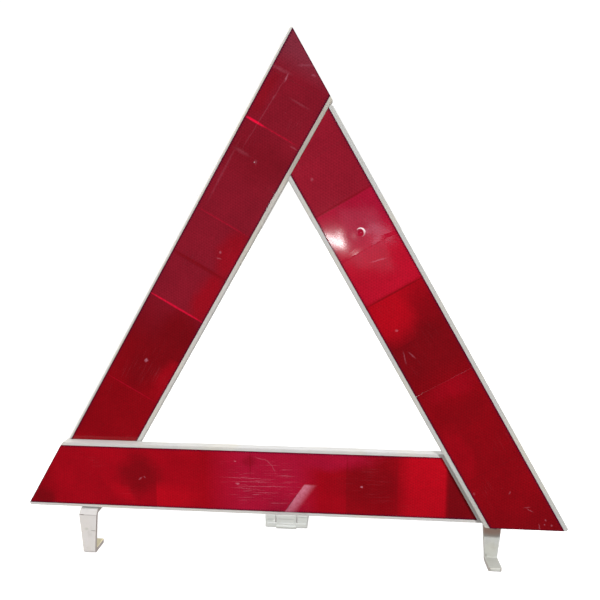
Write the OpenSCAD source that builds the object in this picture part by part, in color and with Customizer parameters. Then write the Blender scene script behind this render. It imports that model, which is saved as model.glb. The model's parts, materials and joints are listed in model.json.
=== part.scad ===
// Folding warning triangle: three reflector strips, two folding arms, two swivel feet.
// Frame: X along the base strip, Y from front to back, Z up. The ground is z = 0.

/* [Triangle] */
// Side of the triangle, corner to corner
side = 450; // [430:5:550]
// Width of each strip over its two rims
strip_w = 57; // [56:0.5:60]
// Height of the base strip above the ground
clearance = 39; // [36:1:60]
// Radius of the pointed corners
corner_r = 1.7; // [0.5:0.1:1.7]
// How far the left arm's point passes the right arm's outer edge
apex_out = 2.5; // [0:0.1:3]

/* [Strips] */
// Thickness of the base strip
base_t = 8; // [8:0.5:10]
// Thickness of each folding arm
arm_t = 7; // [7:0.5:9]
// Gap between the base strip and each arm at its pivot
layer_gap = 0.8; // [0.8:0.1:1.2]
// Lean of each arm towards the other, in degrees
lean = 0.85; // [0.5:0.05:0.85]
// Width of the white rim beside an arm's red lens
rim_w = 3.5; // [3:0.1:4]
// Width of the white rim beside the base strip's lens
base_rim_w = 2.6; // [2.5:0.1:4]
// Thickness of the red lens
lens_t = 2.5; // [2:0.1:2.6]
// Thickness of the backing sheet behind the lens
backing_t = 0.7; // [0.5:0.1:0.8]
// Thickness of the housing's back wall
floor_t = 2; // [1.8:0.1:2.2]
// Distance from one lens block to the next
block_pitch = 40.2; // [38:0.1:42]
// Distance from the point of a strip to its first block edge
first_block = 33; // [30:0.5:36]

/* [Pivots] */
// Radius of the rivet shanks
rivet_r = 3; // [2.5:0.1:3.2]
// Radial clearance of an arm on its rivet
rivet_play = 0.05; // [0.02:0.01:0.09]
// Radius of the rivet heads
rivet_head_r = 5; // [4.5:0.1:5.4]
// Radius of the friction washers
washer_r = 8; // [7:0.5:10]

/* [Feet] */
// Distance of each foot's pivot from the middle
foot_x = 170; // [165:1:172]
// Thickness of the foot strip
foot_t = 3.2; // [2.8:0.1:3.4]
// Width of a foot at its top
foot_top_w = 15.2; // [14:0.1:16]
// Width of a foot at the ground
foot_sole_w = 10.6; // [10:0.1:12]
// Reach of the upright web from the foot's pivot
foot_reach = 10; // [10:0.1:13]
// Length of the foot's sole
sole_len = 19.5; // [17:0.5:24]

/* [Storage clip] */
// Width of the storage clip
clip_w = 34.4; // [32:0.2:40]
// Width of its spring tongue
tongue_w = 16.4; // [14:0.2:18]
// Height of its lips above the base strip's lower edge
lip_h = 5.5; // [4:0.1:6]

/* [Hidden] */

$fn = 48;
eps = 0.01;
white = [0.84, 0.85, 0.82];
red = [0.56, 0.05, 0.11];
steel = [0.62, 0.62, 0.6];
nylon = [0.9, 0.89, 0.84];

height = side * sin(60);
pivot_along = side - strip_w * cos(30);
tip_pivot_along = strip_w * cos(30);
pivot_x = side / 2 - tip_pivot_along;
pivot_z = clearance + strip_w / 2;

// Strips
lip = 0.2;              // the lens sits this far below the rim
wall_w = 6;             // a strip's wall: its rim and the ledge that carries the lens
slip = 0.15;            // clearance of sheets and lenses in their seats
step_h = 0.6;           // height and set-back of the stepped front edge of a rim
step_in = 0.4;
left_gap = 0;           // lens end to the next strip's inner edge
base_gap = 2.5;
right_gap = 0.9;
apex_taper = [18, 1.2]; // outer edge narrows over this length, by this much, towards the left arm's point
open_end = 4;           // a seat runs this far past a cut end, and so leaves it open
last_block = 8;
rib_w = 1.4;            // cross ribs inside a strip
back_rib_w = 2;
back_recess_in = 7.5;   // shallow recess in the back face
back_recess = 0.6;
groove_w = 0.3;         // line between two lens blocks
groove_depth = 0.15;

// Lens screw posts
post_along = [101, 287];
post_r = 2.8;
boss_r = 5.2;
boss_below_backing = 0.4;
boss_wall = 1.6;
dimple_r = 1;
dimple_depth = 0.25;
screw_r = 1.2;
screw_head_r = 2.8;
screw_head_h = 1.3;
screw_bite = 1.2;       // how far a lens screw goes past the lens's back face
screw_play = 0.2;
pilot_r = 1.1;
slot_w = 0.7;           // cross slot of a screw head
slot_depth = 0.6;

// Apex keeper
keeper_along = 70;
keeper_len = 20;
keeper_reach = 14;
keeper_plate = 1.4;
keeper_in = 12;
keeper_pad = 8;         // solid floor round the keeper's seat
keeper_taper = 2;
keeper_dome_at = [80, strip_w + 7];
keeper_dome_r = 3;
keeper_dome_ball = 6;
keeper_dome_out = 0.15; // proud of the arm's front face, low enough to pass behind the base strip
keeper_socket_r = 2;
keeper_screw_at = [[75, 49], [85, 49]];
keeper_screw_r = 1;
keeper_head_r = 2.1;
keeper_head_h = 1;

// Pivots
pivot_boss_r = 9;       // solid floor round a rivet
head_play = 0.1;
inner_head_h = 1.3;     // rivet heads inside the strips
cap_h = 1.4;            // rounded head on the back
rear_gap = 0.6;         // left arm's back face to that head
washer_t = 0.58;
washer_gap = 0.08;
rear_washer_t = 0.55;

// Screws into the base strip's lower wall
ground_screw_y = 0.8;   // they stand this far behind the middle plane
wall_screw_r = 1.5;
wall_pilot_r = 1.3;
wall_screw_depth = 5.2;

// Feet
foot_top = -0.5;        // top of the flange below the base strip
foot_chamfer = 3.5;
foot_bend = 2.5;
flange_back = 5.2;
flange_cut = 2;
sole_corner = 1.5;
shoulder_r = 2;
shoulder_play = 0.06;
foot_screw_head_r = 3.4;
foot_screw_head_h = 1.6;
foot_washer_t = 0.35;

// Storage clip
clip_screw_x = 11.5;
clip_plate = 5.2;
clip_half = base_t / 2 + layer_gap + arm_t + 0.95;
lip_t = 1.85;
tongue_root = -1;       // the slits beside the tongue end at this height
tongue_slit = 0.8;
tongue_rib = 1;
clip_head_r = 2.7;
clip_head_h = 1.5;

// ---- outlines, in a strip's own plane: x from its point along its outer edge, y inwards ----

function tip_x(y, out) = y / tan(60) - out / sin(60);
function end_x(y, gap) = side - (strip_w + gap) / sin(60) - y / tan(60);

function trapezium(inset, tip_out, end_gap) = let (a = inset, b = strip_w - inset)
    [[tip_x(a, tip_out), a], [end_x(a, end_gap), a], [end_x(b, end_gap), b], [tip_x(b, tip_out), b]];

function arc(centre, r, from, to, n) =
    [for (i = [0:n]) let (a = from + (to - from) * i / n) centre + r * [cos(a), sin(a)]];

function unit(v) = v / norm(v);

// Arc that rounds the convex corner b of an anticlockwise outline
function corner(a, b, c, r) = let (
    u = unit(a - b), w = unit(c - b), half = acos(u * w) / 2,
    centre = b + unit(u + w) * r / sin(half), start = b + u * r / tan(half) - centre,
    from = atan2(start[1], start[0])
) arc(centre, r, from, from + 180 - 2 * half, 6);

function wrap(points, i) = points[(i + len(points)) % len(points)];

function rounded(points, r) =
    [for (i = [0:len(points) - 1]) each corner(wrap(points, i - 1), points[i], wrap(points, i + 1), r)];

function cut_outline(inset, tip_out, end_gap) =
    rounded(trapezium(inset, tip_out - inset, end_gap + inset), corner_r);

// Outline with a round root about the pivot at the far end; taper narrows its outer edge at the point
function root_outline(inset, tip_out, taper = [1, 0]) = let (
    low = inset + taper[1],
    a = [tip_x(low, tip_out - inset), low],
    shoulder = [taper[0], inset],
    b = [tip_x(strip_w - inset, tip_out - inset), strip_w - inset],
    root = arc([pivot_along, strip_w / 2], strip_w / 2 - inset, -90, 90, 24)
) concat(corner(b, a, shoulder, corner_r), taper[1] > 0 ? [shoulder] : [], root,
    corner(root[24], b, a, corner_r));

function seat_z(t) = t - lip - lens_t;
function boss_top(t) = seat_z(t) - backing_t - boss_below_backing;

// ---- placing: strips are drawn flat, back face down, then stood up ----

module base_place() {
    translate([-side / 2, base_t / 2, clearance]) rotate([90, 0, 0]) children();
}

module left_plane() {
    translate([0, base_t / 2 + layer_gap, pivot_z]) rotate([90 + lean, 0, 0])
        translate([0, -strip_w / 2, -arm_t]) children();
}

module right_plane() {
    translate([0, -base_t / 2 - layer_gap, pivot_z]) rotate([90 - lean, 0, 0])
        translate([0, -strip_w / 2, 0]) children();
}

module left_place() {
    left_plane() translate([0, height, 0]) rotate(240) children();
}

module right_place() {
    right_plane() translate([side / 2, 0, 0]) rotate(120) children();
}

// Pivot axes: z = 0 on the arm's face that meets the base strip, +z towards the front
module left_axis() {
    translate([-pivot_x, base_t / 2 + layer_gap, pivot_z]) rotate([90 + lean, 0, 0]) children();
}

module right_axis() {
    translate([pivot_x, -base_t / 2 - layer_gap, pivot_z]) rotate([90 - lean, 0, 0]) children();
}

module at_posts() {
    for (along = post_along) translate([along, strip_w / 2, 0]) children();
}

// ---- strip parts ----

module slab(points, from, to) {
    translate([0, 0, from]) linear_extrude(to - from) polygon(points);
}

module stepped_body(t, outer, inner) {
    slab(outer, 0, t - step_h);
    slab(inner, t - step_h, t);
}

module block_ribs(width, from, to) {
    for (i = [0:last_block]) translate([first_block + i * block_pitch - width / 2, 0, from])
        cube([width, strip_w, to - from]);
}

// Everything taken out of a housing; lens_end past the housing leaves the end open
module housing_cuts(t, rim, tip_out, end_gap, lens_end) {
    seat = seat_z(t);
    ledge = wall_w - rim;
    slab(trapezium(rim - slip, tip_out + open_end, lens_end - slip), seat, t + 1);
    hollow = trapezium(wall_w, tip_out - ledge, end_gap + ledge);
    slab(hollow, seat - backing_t, seat + eps);
    difference() {
        slab(hollow, floor_t, seat - backing_t + eps);
        block_ribs(rib_w, floor_t - 1, seat);
        at_posts() cylinder(h = boss_top(t), r = boss_r);
    }
    difference() {
        slab(trapezium(back_recess_in, tip_out - open_end, end_gap + open_end), -1, back_recess);
        block_ribs(back_rib_w, -1, 1);
        translate([0, (strip_w - back_rib_w) / 2, -1]) cube([side, back_rib_w, 2]);
        at_posts() translate([0, 0, -1]) cylinder(h = 2, r = boss_r + 1);
    }
    at_posts() {
        translate([0, 0, -1]) cylinder(h = boss_top(t) - boss_wall + 1, r = screw_head_r + screw_play);
        cylinder(h = boss_top(t) + 1, r = screw_r + screw_play);
    }
}

// Every second block edge, from first_groove on, is a groove in the lens's face
module lens(t, rim, tip_out, end_gap, first_groove) {
    seat = seat_z(t);
    face = t - lip;
    difference() {
        union() {
            slab(trapezium(rim, tip_out, end_gap), seat, face);
            at_posts() translate([0, 0, boss_top(t)]) cylinder(h = seat - boss_top(t) + 1, r = post_r);
        }
        for (i = [first_groove:2:last_block])
            translate([first_block + i * block_pitch - groove_w / 2, 0, face - groove_depth])
                cube([groove_w, strip_w, 1]);
        at_posts() {
            translate([0, 0, boss_top(t) - 1]) cylinder(h = seat - boss_top(t) + 1 + lens_t / 2, r = pilot_r);
            translate([0, 0, face - dimple_depth]) cylinder(h = 1, r = dimple_r);
        }
    }
}

module backing(t, rim, tip_out, end_gap) {
    margin = wall_w - rim + slip;
    difference() {
        slab(trapezium(wall_w + slip, tip_out - margin, end_gap + margin), seat_z(t) - backing_t, seat_z(t));
        at_posts() cylinder(h = t, r = post_r + 2 * slip);
    }
}

module screw(head_r, head_h, r, length) {
    slot = 1.2 * head_r;
    difference() {
        cylinder(h = head_h, r = head_r);
        for (a = [0, 90]) rotate(a) translate([-slot / 2, -slot_w / 2, -1])
            cube([slot, slot_w, 1 + slot_depth]);
    }
    cylinder(h = head_h + length, r = r);
}

module lens_screws(t) {
    head_top = boss_top(t) - boss_wall;
    at_posts() translate([0, 0, head_top - screw_head_h])
        screw(screw_head_r, screw_head_h, screw_r, seat_z(t) + screw_bite - head_top);
}

// ---- base strip ----

module wall_holes(at) {
    for (x = at) translate([x, ground_screw_y, clearance - 1])
        cylinder(h = wall_screw_depth + 1.4, r = wall_pilot_r);
}

module base_housing() {
    color(white) difference() {
        base_place() difference() {
            stepped_body(base_t, root_outline(0, 0), root_outline(step_in, 0));
            difference() {
                housing_cuts(base_t, base_rim_w, 0, base_gap, base_gap);
                translate([tip_pivot_along, strip_w / 2, -1]) cylinder(h = floor_t + 3, r = pivot_boss_r);
            }
        }
        left_axis() {
            cylinder(h = 2 * base_t, r = rivet_r);
            translate([0, 0, layer_gap + floor_t]) cylinder(h = 5, r = rivet_head_r + head_play);
        }
        right_axis() {
            translate([0, 0, -2 * base_t]) cylinder(h = 2 * base_t, r = rivet_r);
            translate([0, 0, -base_t - layer_gap - 2]) cylinder(h = 3.7, r = rivet_head_r + head_play);
        }
        wall_holes([-foot_x, foot_x, -clip_screw_x, clip_screw_x]);
    }
}

module base_lens() {
    color(red) base_place() lens(base_t, base_rim_w, 0, base_gap, 2);
}

module base_backing() {
    color(nylon) base_place() backing(base_t, base_rim_w, 0, base_gap);
}

module base_lens_screws() {
    color(steel) base_place() lens_screws(base_t);
}

// ---- left arm ----

module left_arm_housing() {
    color(white) difference() {
        left_place() {
            difference() {
                stepped_body(arm_t, root_outline(0, apex_out, apex_taper),
                    root_outline(step_in, apex_out, apex_taper));
                difference() {
                    housing_cuts(arm_t, rim_w, apex_out, left_gap, left_gap);
                    translate([keeper_along - 2, strip_w - wall_w - keeper_pad, -1])
                        cube([keeper_len + 4, keeper_pad + 2, 1 + floor_t]);
                }
                translate([keeper_along - slip, strip_w - keeper_in - slip, floor_t])
                    cube([keeper_len + 2 * slip, keeper_in + 3, keeper_plate + slip]);
                for (at = keeper_screw_at) translate([at[0], at[1], -1]) {
                    cylinder(h = 1 + 0.2 + keeper_head_h, r = keeper_head_r + screw_play);
                    cylinder(h = 2 + floor_t, r = keeper_screw_r + 0.1);
                }
            }
        }
        left_axis() translate([0, 0, -2 * arm_t]) cylinder(h = 3 * arm_t, r = rivet_r + rivet_play);
    }
}

module left_arm_lens() {
    color(red) left_place() lens(arm_t, rim_w, apex_out, left_gap, 1);
}

module left_arm_backing() {
    color(nylon) left_place() backing(arm_t, rim_w, apex_out, left_gap);
}

module left_arm_lens_screws() {
    color(steel) left_place() lens_screws(arm_t);
}

// Tongue on the left arm that laps behind the right arm's end, with a detent dome
module apex_keeper() {
    out_from = strip_w + 0.3;
    color(white) left_place() difference() {
        union() {
            translate([keeper_along, strip_w - keeper_in, floor_t])
                cube([keeper_len, keeper_in + 2, keeper_plate]);
            slab(rounded([[keeper_along, out_from], [keeper_along + keeper_len, out_from],
                [keeper_along + keeper_len - keeper_taper, strip_w + keeper_reach],
                [keeper_along + keeper_taper, strip_w + keeper_reach]], 1), floor_t, arm_t - lip);
            translate([keeper_dome_at[0], keeper_dome_at[1], arm_t + keeper_dome_out - keeper_dome_ball])
                intersection() {
                    sphere(r = keeper_dome_ball);
                    translate([0, 0, keeper_dome_ball / 2]) cylinder(h = keeper_dome_ball, r = keeper_dome_r);
                }
        }
        for (at = keeper_screw_at) translate([at[0], at[1], 0])
            cylinder(h = arm_t, r = keeper_screw_r - 0.1);
    }
}

module keeper_screws() {
    color(steel) left_place() for (at = keeper_screw_at) translate([at[0], at[1], 0.2])
        screw(keeper_head_r, keeper_head_h, keeper_screw_r, floor_t + keeper_plate - 1.4);
}

// ---- right arm ----

module right_arm_housing() {
    color(white) difference() {
        right_place() difference() {
            stepped_body(arm_t, cut_outline(0, 0, right_gap), cut_outline(step_in, 0, right_gap));
            difference() {
                housing_cuts(arm_t, rim_w, 0, right_gap, right_gap - open_end);
                translate([tip_pivot_along, strip_w / 2, -1]) cylinder(h = 1 + floor_t, r = pivot_boss_r);
            }
            translate([tip_pivot_along, strip_w / 2, floor_t])
                cylinder(h = seat_z(arm_t) - backing_t - floor_t, r = rivet_head_r + 1.2);
        }
        right_axis() translate([0, 0, -arm_t]) cylinder(h = 3 * arm_t, r = rivet_r + rivet_play);
        left_place() translate([keeper_dome_at[0], keeper_dome_at[1], arm_t + 1])
            sphere(r = keeper_socket_r);
    }
}

module right_arm_lens() {
    color(red) right_place() lens(arm_t, rim_w, 0, right_gap, 1);
}

module right_arm_backing() {
    color(nylon) right_place() backing(arm_t, rim_w, 0, right_gap);
}

module right_arm_lens_screws() {
    color(steel) right_place() lens_screws(arm_t);
}

// ---- pivots ----

module left_pivot_rivet() {
    back = -arm_t - rear_gap;
    color(steel) left_axis() {
        translate([0, 0, back]) cylinder(h = layer_gap + floor_t - back + 0.5, r = rivet_r);
        translate([0, 0, layer_gap + floor_t]) cylinder(h = inner_head_h, r = rivet_head_r);
        translate([0, 0, back - cap_h]) rotate_extrude()
            polygon(concat([[0, 0]], arc([rivet_head_r - cap_h, cap_h], cap_h, -90, 0, 6), [[0, cap_h]]));
    }
}

module right_pivot_rivet() {
    back = -layer_gap - base_t + 0.35;
    color(steel) right_axis() {
        translate([0, 0, back]) cylinder(h = floor_t + 1 - back, r = rivet_r);
        translate([0, 0, floor_t + slip]) cylinder(h = inner_head_h - 0.1, r = rivet_head_r);
        translate([0, 0, back]) cylinder(h = inner_head_h + 0.05, r = rivet_head_r);
    }
}

module washer(outer, inner, t) {
    difference() {
        cylinder(h = t, r = outer);
        translate([0, 0, -1]) cylinder(h = t + 2, r = inner);
    }
}

module left_pivot_washer() {
    color(nylon) left_axis() translate([0, 0, washer_gap]) washer(washer_r, rivet_r + head_play, washer_t);
}

module right_pivot_washer() {
    color(nylon) right_axis() translate([0, 0, -washer_gap - washer_t])
        washer(washer_r, rivet_r + head_play, washer_t);
}

module left_rear_washer() {
    color(steel) left_axis() translate([0, 0, -arm_t - rear_gap])
        washer(rivet_head_r + 1.5, rivet_r + head_play, rear_washer_t);
}

// ---- feet: drawn with the pivot at the origin and the web towards +y ----

module foot_shape() {
    bottom = -clearance;
    web_in = foot_reach - foot_t;
    profile = concat(
        [[-flange_back, foot_top], [foot_reach - foot_chamfer, foot_top],
         [foot_reach, foot_top - foot_chamfer]],
        arc([foot_reach - foot_bend, bottom + foot_bend], foot_bend, 0, -90, 6),
        [[foot_reach - sole_len + 1, bottom], [foot_reach - sole_len, bottom + 1],
         [foot_reach - sole_len, bottom + foot_t - 0.6], [foot_reach - sole_len + 0.6, bottom + foot_t]],
        arc([web_in - 1, bottom + foot_t + 1], 1, -90, 0, 4),
        [[web_in, foot_top - foot_t - 1], [web_in - 1, foot_top - foot_t],
         [-flange_back, foot_top - foot_t]]);
    top = foot_top_w / 2;
    sole = foot_sole_w / 2;
    taper_from = foot_top - foot_chamfer - 0.5;
    front = [[-top, 1], [-top, taper_from], [-sole, bottom + 4], [-sole, bottom - 1],
        [sole, bottom - 1], [sole, bottom + 4], [top, taper_from], [top, 1]];
    sole_end = foot_reach - sole_len;
    plan = [[top + 1, foot_reach + 1], [-top - 1, foot_reach + 1], [-top - 1, flange_cut - flange_back],
        [-sole - 1, -flange_back], [-sole, sole_end + sole_corner], [sole_corner - sole, sole_end],
        [sole - sole_corner, sole_end], [sole, sole_end + sole_corner],
        [sole + 1, -flange_back], [top + 1, flange_cut - flange_back]];
    difference() {
        intersection() {
            rotate([90, 0, 90]) translate([0, 0, -top]) linear_extrude(foot_top_w) polygon(profile);
            rotate([90, 0, 0]) translate([0, 0, -foot_reach - 2])
                linear_extrude(3 * foot_reach) polygon(front);
            translate([0, 0, bottom - 1]) linear_extrude(clearance + 2) polygon(plan);
        }
        translate([0, 0, foot_top - foot_t - 1]) cylinder(h = foot_t + 2, r = shoulder_r + shoulder_play);
    }
}

module foot_place(sign) {
    translate([sign * foot_x, ground_screw_y, clearance]) rotate(sign > 0 ? 0 : 180) children();
}

module left_foot() {
    color(white) foot_place(-1) foot_shape();
}

module right_foot() {
    color(white) foot_place(1) foot_shape();
}

// Shoulder screw: the foot turns on the shoulder, the thread holds in the base strip
module foot_screw() {
    under = foot_top - foot_t - 0.1;
    slot = 1.4 * foot_screw_head_r;
    translate([0, 0, under - foot_screw_head_h]) difference() {
        cylinder(h = foot_screw_head_h, r = foot_screw_head_r);
        translate([-slot / 2, -slot_w / 2, -1]) cube([slot, slot_w, 1 + slot_depth]);
    }
    translate([0, 0, under - 0.5]) cylinder(h = 0.5 - under - 0.02, r = shoulder_r);
    translate([0, 0, -1]) cylinder(h = 1 + wall_screw_depth, r = wall_screw_r);
}

module left_foot_screw() {
    color(steel) foot_place(-1) foot_screw();
}

module right_foot_screw() {
    color(steel) foot_place(1) foot_screw();
}

module foot_washer() {
    translate([0, 0, -foot_washer_t]) washer(shoulder_r + 1.2, shoulder_r + 0.1, foot_washer_t);
}

module left_foot_washer() {
    color(nylon) foot_place(-1) foot_washer();
}

module right_foot_washer() {
    color(nylon) foot_place(1) foot_washer();
}

// ---- storage clip ----

module clip_half_profile() {
    back = clip_half + lip_t;
    polygon([[-eps, -clip_plate], [-eps, 0], [base_t / 2 - 0.1, 0], [base_t / 2 + 0.2, -0.5],
        [clip_half, -0.5], [clip_half, lip_h - 0.7], [clip_half + 0.5, lip_h], [back - 0.5, lip_h],
        [back, lip_h - 0.5], [back, tongue_root], [back + 0.6, tongue_root - 0.6],
        [back + 0.6, 1 - clip_plate], [back, -clip_plate]]);
}

module clip_side() {
    face = clip_half + lip_t;
    difference() {
        rotate([90, 0, 90]) translate([0, 0, -clip_w / 2]) linear_extrude(clip_w) clip_half_profile();
        for (s = [-1, 1]) {
            translate([(s * (tongue_w + tongue_slit) - tongue_slit) / 2, clip_half - 1, tongue_root])
                cube([tongue_slit, 10, lip_h + 2]);
            translate([s * clip_w / 2, face + 0.6, -clip_plate - 1]) rotate(45)
                cube([1.8, 1.8, 3 * lip_h], center = true);
        }
    }
    translate([-tongue_w / 2, face - 0.6, 1 - clip_plate]) rotate([0, 90, 0])
        cylinder(h = tongue_w, r = 2);
    for (s = [-1, 1])
        translate([s * (tongue_w / 2 - tongue_rib) - tongue_rib / 2, face - 0.3, tongue_root - 0.5])
            cube([tongue_rib, 0.9, lip_h]);
}

module storage_clip() {
    color(white) translate([0, 0, clearance]) difference() {
        union() {
            clip_side();
            rotate(180) clip_side();
        }
        for (x = [-clip_screw_x, clip_screw_x]) translate([x, ground_screw_y, -clip_plate - 2]) {
            cylinder(h = 10, r = wall_screw_r + slip);
            cylinder(h = 2 + 0.3 + clip_head_h, r = clip_head_r + screw_play);
        }
    }
}

module clip_screws() {
    color(steel) translate([0, 0, clearance]) for (x = [-clip_screw_x, clip_screw_x])
        translate([x, ground_screw_y, 0.3 - clip_plate])
            screw(clip_head_r, clip_head_h, wall_screw_r, clip_plate - 0.3 - clip_head_h + 5);
}

base_housing();
base_lens();
base_backing();
base_lens_screws();
left_arm_housing();
left_arm_lens();
left_arm_backing();
left_arm_lens_screws();
right_arm_housing();
right_arm_lens();
right_arm_backing();
right_arm_lens_screws();
apex_keeper();
keeper_screws();
left_pivot_rivet();
right_pivot_rivet();
left_pivot_washer();
right_pivot_washer();
left_rear_washer();
left_foot();
right_foot();
left_foot_screw();
right_foot_screw();
left_foot_washer();
right_foot_washer();
storage_clip();
clip_screws();
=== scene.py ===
"""Looks of the folding warning triangle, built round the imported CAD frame.

Lengths are in millimetres, except where a comment says metres.
Places on a strip are in its own frame: x along it, y inwards from its outer edge.
"""

import json
import math

import bmesh
import bpy
from mathutils import Matrix, Vector
from mathutils.geometry import tessellate_polygon


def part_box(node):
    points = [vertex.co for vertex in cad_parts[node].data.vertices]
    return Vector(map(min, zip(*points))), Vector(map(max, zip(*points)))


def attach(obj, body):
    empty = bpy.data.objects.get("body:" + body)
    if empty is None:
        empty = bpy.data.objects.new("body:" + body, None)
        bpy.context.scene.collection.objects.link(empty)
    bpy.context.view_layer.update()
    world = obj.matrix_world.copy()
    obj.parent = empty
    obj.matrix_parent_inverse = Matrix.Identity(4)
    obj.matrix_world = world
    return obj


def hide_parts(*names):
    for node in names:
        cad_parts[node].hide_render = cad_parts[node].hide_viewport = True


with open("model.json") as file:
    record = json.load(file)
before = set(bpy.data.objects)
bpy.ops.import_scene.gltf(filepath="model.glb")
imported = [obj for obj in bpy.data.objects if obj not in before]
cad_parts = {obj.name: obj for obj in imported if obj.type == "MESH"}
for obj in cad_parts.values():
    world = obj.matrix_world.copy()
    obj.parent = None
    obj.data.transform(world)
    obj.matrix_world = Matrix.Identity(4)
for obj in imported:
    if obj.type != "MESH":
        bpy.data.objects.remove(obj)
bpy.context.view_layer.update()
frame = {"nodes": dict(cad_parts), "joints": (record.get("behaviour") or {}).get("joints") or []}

MM = 0.001
SIDE = 450  # triangle's side, corner to corner
STRIP_W = 57
ARM_T = 7
MIDDLE = STRIP_W / 2
TIP_PIVOT_ALONG = STRIP_W * math.cos(math.radians(30))
LEFT_TURN = 240  # direction of each arm's strip, from +X towards +Z
RIGHT_TURN = 120

BLOCK_PITCH = 40.2  # the lens is moulded in blocks of this length
FIRST_BLOCK = 33  # place of the first block edge
POSTS_ALONG = (101, 287)
TOOTH_PITCH = 2.0  # pitch of the lens's prisms, and of the teeth along its edges

STUDIO_WHITE = (1.0, 1.0, 1.0, 1.0)


def srgb(red, green, blue):
    """Linear colour of an sRGB one given from 0 to 255."""
    def linear(v):
        v /= 255
        return v / 12.92 if v <= 0.04045 else ((v + 0.055) / 1.055) ** 2.4
    return (linear(red), linear(green), linear(blue), 1.0)


def add(name, data, place=None):
    """A new object in the scene, placed by a matrix in metres if one is given."""
    made = bpy.data.objects.new(name, data)
    bpy.context.scene.collection.objects.link(made)
    if place is not None:
        made.matrix_world = place
    return made


# ---- strip frames: x along from the strip's point, y inwards, z out of the reflecting face ----

def strip_frame(along, normal, point, local_point):
    """Matrix of a strip, in millimetres, that puts local_point at point."""
    inward = normal.cross(along)
    axes = Matrix((along, inward, normal)).transposed()
    origin = point - axes @ Vector(local_point)
    return Matrix.Translation(origin) @ axes.to_4x4()


def arm_frame(body, turn, facing, local_pivot):
    """Frame of a folding arm from its own joint: the axis is the normal of its faces."""
    joint = next(j for j in frame["joints"] if j["child"] == body)
    normal = Vector(joint["axis"]).normalized() * facing
    across = Vector((1, 0, 0))
    up = normal.cross(across)
    along = across * math.cos(math.radians(turn)) + up * math.sin(math.radians(turn))
    return strip_frame(along, normal, Vector(joint["pos_m"]) / MM, local_pivot)


def base_frame():
    """Frame of the base strip, from the low rear corner of its housing."""
    low, high = (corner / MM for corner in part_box("base_housing"))
    start = Vector((-SIDE / 2, high.y, low.z))
    return strip_frame(Vector((1, 0, 0)), Vector((0, -1, 0)), start, (0, 0, 0))


FRAMES = {
    "base": base_frame(),
    "left_arm": arm_frame("left_arm", LEFT_TURN, -1, (SIDE - TIP_PIVOT_ALONG, MIDDLE, ARM_T)),
    "right_arm": arm_frame("right_arm", RIGHT_TURN, 1, (TIP_PIVOT_ALONG, MIDDLE, 0)),
}


def local_points(body, node):
    """A CAD node's vertices in the strip frame of its body, in millimetres."""
    inverse = FRAMES[body].inverted()
    return [inverse @ (v.co / MM) for v in frame["nodes"][node].data.vertices]


# ---- node graphs ----

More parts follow.
